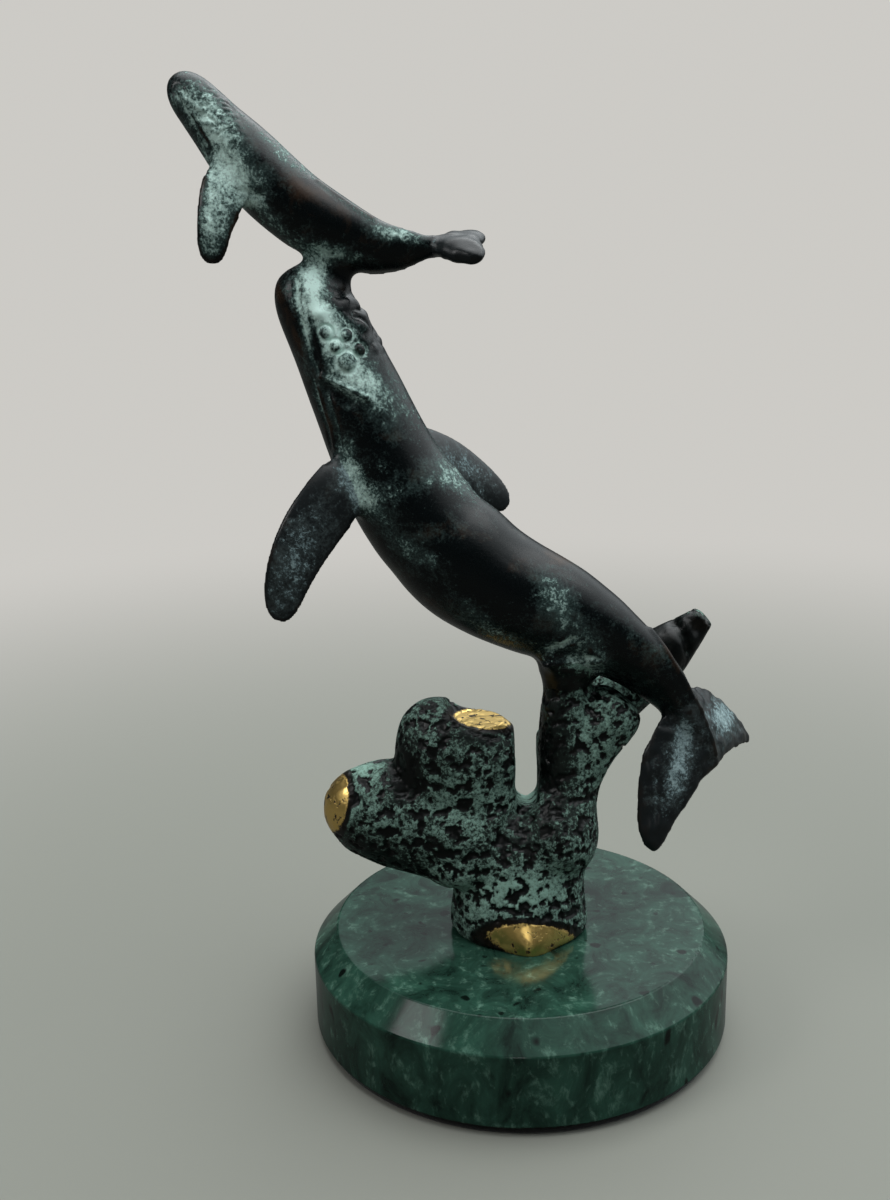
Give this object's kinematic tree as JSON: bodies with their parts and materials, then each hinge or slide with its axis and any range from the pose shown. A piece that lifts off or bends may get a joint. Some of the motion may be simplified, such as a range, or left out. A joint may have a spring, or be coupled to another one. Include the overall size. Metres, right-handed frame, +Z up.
{
  "type": "whale figurine",
  "caption": "Cast bronze whale diving up from a coral with its calf on its snout, pinned to a round bevelled marble base with felt under it; a free-standing ornament.",
  "frame": {"origin": "centre of the underside of the felt, on the surface that the figurine stands on", "axes": "+Z up; +X from the heads towards the tails; +Y away from the side that shows the whales' backs"},
  "size_m": [0.1307, 0.1, 0.2199],
  "materials": {
    "patinated_bronze": "cast bronze with a dark satin patina and pale green verdigris",
    "coral_bronze": "rough cast bronze mottled with verdigris, rubbed to gold on its high spots",
    "braze": "braze bead gone green in its crevice",
    "green_marble": "dark green marble, turned and polished",
    "felt": "black wool felt",
    "steel": "plain turned steel"
  },
  "bodies": {
    "root": {"felt_pad": "felt", "marble_base": "green_marble", "mounting_stud": "steel", "flat_washer": "steel", "hex_nut": "steel", "coral": "coral_bronze", "belly_weld": "braze", "belly_dowel": "steel", "calf_dowel": "steel", "whale_body": "patinated_bronze", "whale_left_flipper": "patinated_bronze", "whale_right_flipper": "patinated_bronze", "whale_flukes": "patinated_bronze", "calf_post": "patinated_bronze", "calf_body": "patinated_bronze", "calf_left_flipper": "patinated_bronze", "calf_right_flipper": "patinated_bronze", "calf_flukes": "patinated_bronze"}
  },
  "joints": []
}
